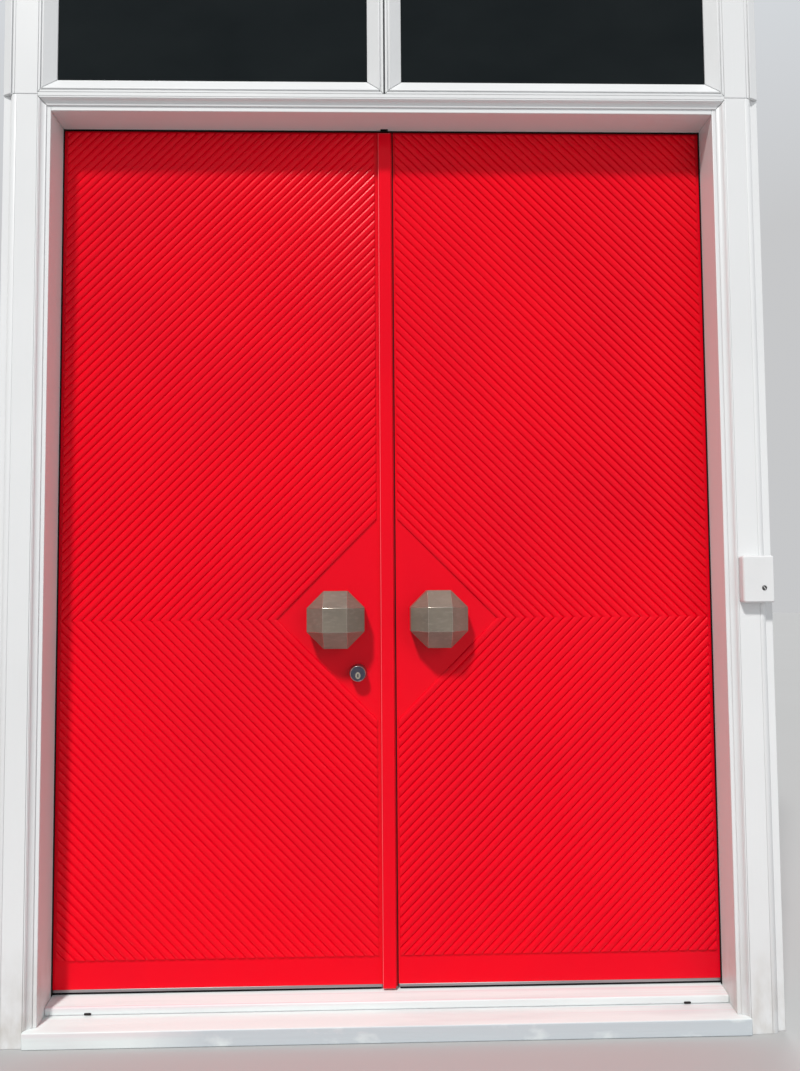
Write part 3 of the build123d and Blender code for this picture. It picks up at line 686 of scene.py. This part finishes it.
lock_finish, tree, shader = finish_of("lock_collar_metal", 0.30, 0.5, 0.9)
coloured(tree, shader, speckle(tree, 60.0, detail=5.0), collar_blue, collar_grey)
raised(tree, shader, speckle(tree, 150.0), 0.0001, 0.3)
face_metal, tree, shader = finish_of("dark_lock_face", 0.34, 0.5, 0.8)
coloured(tree, shader, speckle(tree, 110.0), face_blue, face_violet)
raised(tree, shader, speckle(tree, 260.0), 0.0001, 0.3)
bright_metal, tree, shader = finish_of("scraped_lock_metal", 0.25, 0.5, 1.0)
coloured(tree, shader, speckle(tree, 90.0), brass_bright, brass_dull)
raised(tree, shader, speckle(tree, 400.0), 0.00005, 0.3)
rim_highlight_metal, tree, shader = finish_of("lock_rim_painted_highlight", 0.28, 0.5, 0.95)
coloured(tree, shader, between(tree, speckle(tree, 70.0), 0.40, 0.62), rim_dark, rim_pale_highlight)
raised(tree, shader, speckle(tree, 400.0), 0.00005, 0.3)
# Painted shade: the keyway's walls and floor are near-black, for the shade in that recess.
keyway_shade_finish, tree, shader = finish_of("keyway_painted_shade", 0.8, 0.1)
coloured(tree, shader, speckle(tree, 500.0), keyway_shade_black, keyway_shade_brown)


def lock_piece(name, bm, finishes, node):
    """Makes a bmesh drawn about the lock's axis a piece on the left leaf."""
    bmesh.ops.translate(bm, vec=lock_middle, verts=bm.verts)
    piece_of(name, bm, finishes, body_of("lock_collar"), "lock_metal", node)


def scored(bm, faces, point, away):
    """Cuts faces in two along a plane."""
    edges = list({edge for face in faces for edge in face.edges})
    verts = list({vert for face in faces for vert in face.verts})
    cut = faces + edges + verts
    bmesh.ops.bisect_plane(bm, geom=cut, plane_co=point, plane_no=away, dist=cut_slack)


def sunk(bm, faces, move):
    """Sinks faces to make the floor of a slot, and gives that floor."""
    grown = bmesh.ops.extrude_face_region(bm, geom=faces)["geom"]
    bmesh.ops.delete(bm, geom=faces, context="FACES")
    moved = [part for part in grown if isinstance(part, bmesh.types.BMVert)]
    bmesh.ops.translate(bm, vec=move, verts=moved)
    return [part for part in grown if isinstance(part, bmesh.types.BMFace)]


bm = bmesh.new()
# The collar's section as radius and place, from the leaf along its outside, over the rim and in.
outline = [
    (0.0, 0.0),
    (collar_base - 0.0006, 0.0),
    (collar_base, -0.0006),
    (collar_base - 0.0002, -0.0016),
    (face_radius + 0.0010, -collar_length + 0.0024),
    (face_radius + 0.0006, -collar_length + 0.0011),
    (face_radius, -collar_length + 0.0003),
    (face_radius - 0.0004, -collar_length),
    (face_radius - rim_width, -collar_length),
    (face_radius - rim_width - 0.0003, -collar_length + 0.0003),
    (face_radius - rim_width - 0.0005, -collar_length + rim_depth),
    (0.0, -collar_length + rim_depth),
]
points = [bm.verts.new((x, y, 0)) for x, y in outline]
ribs = [bm.edges.new(pair) for pair in zip(points, points[1:])]
bmesh.ops.spin(
    bm,
    geom=points + ribs,
    axis=(0, 1, 0),
    cent=(0, 0, 0),
    dvec=(0, 0, 0),
    angle=math.tau,
    steps=64,
    use_merge=True,
)
bmesh.ops.remove_doubles(bm, verts=bm.verts, dist=same_point)
bmesh.ops.recalc_face_normals(bm, faces=bm.faces)
for face in bm.faces:
    reach = max(math.hypot(vert.co.x, vert.co.z) for vert in face.verts)
    height = face.calc_center_median().y
    face.smooth = reach >= face_radius - rim_width - flat_inside
    if reach <= face_radius - rim_width and height < -collar_length / 2:
        face.material_index = 1
    elif height < -collar_length + rim_band_depth:
        face.material_index = 2
lock_piece("lock_collar_finished", bm, (lock_finish, face_metal, rim_highlight_metal), "lock_collar")

bm = bmesh.new()
bmesh.ops.create_circle(bm, cap_ends=True, segments=48, radius=1.0)
bmesh.ops.scale(bm, vec=(plug_half_width, plug_half_height, 1), verts=bm.verts)
bmesh.ops.rotate(bm, matrix=facing_out, verts=bm.verts)
sleeve = bmesh.ops.extrude_face_region(bm, geom=bm.faces[:])["geom"]
lid = [part for part in sleeve if isinstance(part, bmesh.types.BMFace)]
bmesh.ops.translate(bm, vec=(0, -plug_length, 0), verts=lid[0].verts)
bmesh.ops.inset_region(bm, faces=lid, thickness=plug_bevel)
bmesh.ops.translate(bm, vec=(0, -plug_crown, 0), verts=lid[0].verts)
crown = -plug_length - plug_crown + front_slack
for point, away in (
    ((-key_half_width, 0, 0), (1, 0, 0)),
    ((key_half_width, 0, 0), (1, 0, 0)),
    ((0, 0, -key_half_height), (0, 0, 1)),
    ((0, 0, key_half_height), (0, 0, 1)),
):
    front = [face for face in bm.faces if all(vert.co.y < crown for vert in face.verts)]
    scored(bm, front, point, away)
keyway = [
    face
    for face in bm.faces
    if all(
        vert.co.y < crown
        and abs(vert.co.x) < key_half_width + side_slack
        and abs(vert.co.z) < key_half_height + side_slack
        for vert in face.verts
    )
]
for floor_face in sunk(bm, keyway, (0, keyway_depth, 0)):
    for edge in floor_face.edges:
        for face in edge.link_faces:
            face.material_index = 1
bmesh.ops.recalc_face_normals(bm, faces=bm.faces)
plug_seat = (0, -collar_length + rim_depth + plug_back, -plug_drop)
bmesh.ops.translate(bm, vec=plug_seat, verts=bm.verts)
lock_piece("lock_plug_finished", bm, (bright_metal, keyway_shade_finish), "lock_plug")
eased("thumb_turn", turn_arris, "lock_metal", lock_finish, bright_metal)

# Butt hinges: three to a leaf, steel plates let into the lining and the leaf's edge.
# Only their knuckles show, on the room side of the closed doors.
steel_pale, steel_grey = (0.50, 0.50, 0.51), (0.36, 0.355, 0.36)
hinge_arris = 0.0004
hinge_steel, tree, shader = finish_of("satin_hinge_steel", 0.32, 0.5, 1.0)
coloured(tree, shader, speckle(tree, 45.0, (1, 1, 0.2), 5.0), steel_pale, steel_grey)
raised(tree, shader, speckle(tree, 200.0, (1, 1, 0.1)), 0.0001, 0.4)
for node in ("frame_hinge_plates", "left_leaf_hinge_plates", "right_leaf_hinge_plates"):
    eased(node, hinge_arris, "hinge_steel", hinge_steel, steps=1)

# Bell box: a plain weatherproof cover screwed on the right casing at hand height.
# It is painted over with the frame, with bare dark metal only on its screw.
bell_white, bell_chalk = (0.75, 0.755, 0.76), (0.67, 0.675, 0.68)
bell_arris = 0.0008
bell_paint, tree, shader = finish_of("bell_box_paint", 0.42, 0.45)
coloured(tree, shader, speckle(tree, 12.0, detail=6.0), bell_white, bell_chalk)
raised(tree, shader, speckle(tree, 120.0), 0.0002, 0.4)
eased("bell_box", bell_arris, "bell_metal", bell_paint)

# Bell screw: a round-headed steel screw in the cover, gone dark, with old white paint in its slot.
# The slot stands at a slant, as the last turn left it.
screw_radius = 0.0055
screw_rise, screw_bevel = 0.0019, 0.0009
slot_half_width = 0.0010
slot_depth = 0.0008
slot_slant = math.radians(55)
screw_black, screw_grey = (0.045, 0.045, 0.045), (0.10, 0.10, 0.10)
screw_finish, tree, shader = finish_of("dark_screw_metal", 0.5, 0.4, 0.5)
coloured(tree, shader, speckle(tree, 200.0), screw_black, screw_grey)
raised(tree, shader, speckle(tree, 350.0), 0.0001, 0.3)
screw_low, screw_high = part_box("bell_box_screw")
screw_seat = Vector((
    (screw_low.x + screw_high.x) / 2,
    screw_high.y,
    (screw_low.z + screw_high.z) / 2,
))
bm = bmesh.new()
bmesh.ops.create_circle(bm, cap_ends=True, segments=32, radius=screw_radius)
sleeve = bmesh.ops.extrude_face_region(bm, geom=bm.faces[:])["geom"]
lid = [part for part in sleeve if isinstance(part, bmesh.types.BMFace)]
bmesh.ops.translate(bm, vec=(0, 0, screw_rise / 2), verts=lid[0].verts)
bmesh.ops.inset_region(bm, faces=lid, thickness=screw_bevel)
bmesh.ops.translate(bm, vec=(0, 0, screw_rise / 2), verts=lid[0].verts)
crown = 0.9 * screw_rise
for line in (-slot_half_width, slot_half_width):
    head = [face for face in bm.faces if all(vert.co.z > crown for vert in face.verts)]
    scored(bm, head, (0, line, 0), (0, 1, 0))
slot_top = [
    face
    for face in bm.faces
    if all(
        vert.co.z > crown and abs(vert.co.y) < slot_half_width + side_slack
        for vert in face.verts
    )
]
for face in sunk(bm, slot_top, (0, 0, -slot_depth)):
    face.material_index = 1
bmesh.ops.recalc_face_normals(bm, faces=bm.faces)
bmesh.ops.rotate(bm, matrix=Matrix.Rotation(-slot_slant, 3, "Z"), verts=bm.verts)
bmesh.ops.rotate(bm, matrix=facing_out, verts=bm.verts)
bmesh.ops.translate(bm, vec=screw_seat, verts=bm.verts)
screw_finishes = (screw_finish, bell_paint)
screw_body = body_of("bell_box_screw")
piece_of(
    "bell_box_screw_finished", bm, screw_finishes, screw_body, "bell_metal", "bell_box_screw"
)

# Floor: a plain pale floor, wide enough to reach past every view of the object.
# It is matt, so that it keeps the object's shadow and shows no reflection of it.
floor_half = 30.0
floor_dark, floor_pale = (0.43, 0.43, 0.43), (0.45, 0.45, 0.45)
floor_mesh = bpy.data.meshes.new("floor")
bm = bmesh.new()
bmesh.ops.create_grid(bm, x_segments=1, y_segments=1, size=floor_half)
bm.to_mesh(floor_mesh)
bm.free()
floor_paint, tree, shader = finish_of("pale_floor", 0.9, 0.1)
coloured(tree, shader, speckle(tree, 0.8), floor_dark, floor_pale)
floor_mesh.materials.append(floor_paint)
floor = bpy.data.objects.new("floor", floor_mesh)
bpy.context.scene.collection.objects.link(floor)

# Light: a broad soft sun high in front on the left, a weaker one on the right and one behind,
# under a pale sky. The sky shows at full strength in the view, in gloss and in glass, and lights
# the object only weakly.


def lamp(name, come_from, strength, spread, tint):
    """A soft distant lamp that shines from a direction."""
    data = bpy.data.lights.new(name, "SUN")
    data.energy = strength
    data.angle = math.radians(spread)
    data.color = tint
    holder = bpy.data.objects.new(name, data)
    holder.matrix_world = Vector(come_from).to_track_quat("Z", "Y").to_matrix().to_4x4()
    bpy.context.scene.collection.objects.link(holder)
    return holder


lamp("key", (-0.27, -0.68, 0.83), strength=2.85, spread=6, tint=(1.0, 0.985, 0.96))
fill = lamp("fill", (0.55, -0.80, 0.25), strength=0.75, spread=40, tint=(0.93, 0.96, 1.0))
fill.visible_glossy = False
lamp("rear", (0.25, 0.80, 0.60), strength=1.2, spread=30, tint=(1.0, 1.0, 1.0))
sky_light, sky_seen = 0.38, 1.0
sky_low, sky_high = (0.57, 0.575, 0.585), (0.86, 0.93, 1.0)
world = bpy.data.worlds.new("studio")
world.use_nodes = True
tree = world.node_tree
sky = tree.nodes["Background"]
sky.inputs["Strength"].default_value = sky_light
backdrop = tree.nodes.new("ShaderNodeBackground")
backdrop.inputs["Strength"].default_value = sky_seen
height = between(tree, place_band(tree, 0.0, 1.0), 0.35, 0.95)
sweep = blended(tree, height, sky_low, sky_high)
tree.links.new(sweep, sky.inputs["Color"])
tree.links.new(sweep, backdrop.inputs["Color"])
ray = tree.nodes.new("ShaderNodeLightPath")
seen = ray.outputs["Is Camera Ray"]
for other in ("Is Glossy Ray", "Is Transmission Ray"):
    either = tree.nodes.new("ShaderNodeMath")
    either.operation = "MAXIMUM"
    tree.links.new(seen, either.inputs[0])
    tree.links.new(ray.outputs[other], either.inputs[1])
    seen = either.outputs["Value"]
choice = tree.nodes.new("ShaderNodeMixShader")
tree.links.new(seen, choice.inputs["Fac"])
tree.links.new(sky.outputs["Background"], choice.inputs[1])
tree.links.new(backdrop.outputs["Background"], choice.inputs[2])
tree.links.new(choice.outputs["Shader"], tree.nodes["World Output"].inputs["Surface"])
bpy.context.scene.world = world
bpy.context.scene.view_settings.view_transform = "Standard"

# Camera: a fairly wide lens at the height of the lock, about two metres in front of the doors.
# It looks up a little and leans slightly, as the photograph was taken.
eye = Vector((-0.0227, -2.1151, 0.9811))
pitch, yaw, roll = 0.058467, 0.0255267, -0.0074492
forward = Vector((
    math.sin(yaw) * math.cos(pitch),
    math.cos(yaw) * math.cos(pitch),
    math.sin(pitch),
))
level_right = Vector((math.cos(yaw), -math.sin(yaw), 0))
level_up = level_right.cross(forward)
right = math.cos(roll) * level_right + math.sin(roll) * level_up
up = -math.sin(roll) * level_right + math.cos(roll) * level_up
lens = bpy.data.cameras.new("camera")
lens.lens = 30.25
lens.sensor_width = 36.0
lens.sensor_fit = "AUTO"
camera = bpy.data.objects.new("camera", lens)
camera.matrix_world = Matrix((
    (right.x, up.x, -forward.x, eye.x),
    (right.y, up.y, -forward.y, eye.y),
    (right.z, up.z, -forward.z, eye.z),
    (0, 0, 0, 1),
))
bpy.context.scene.collection.objects.link(camera)
bpy.context.scene.camera = camera
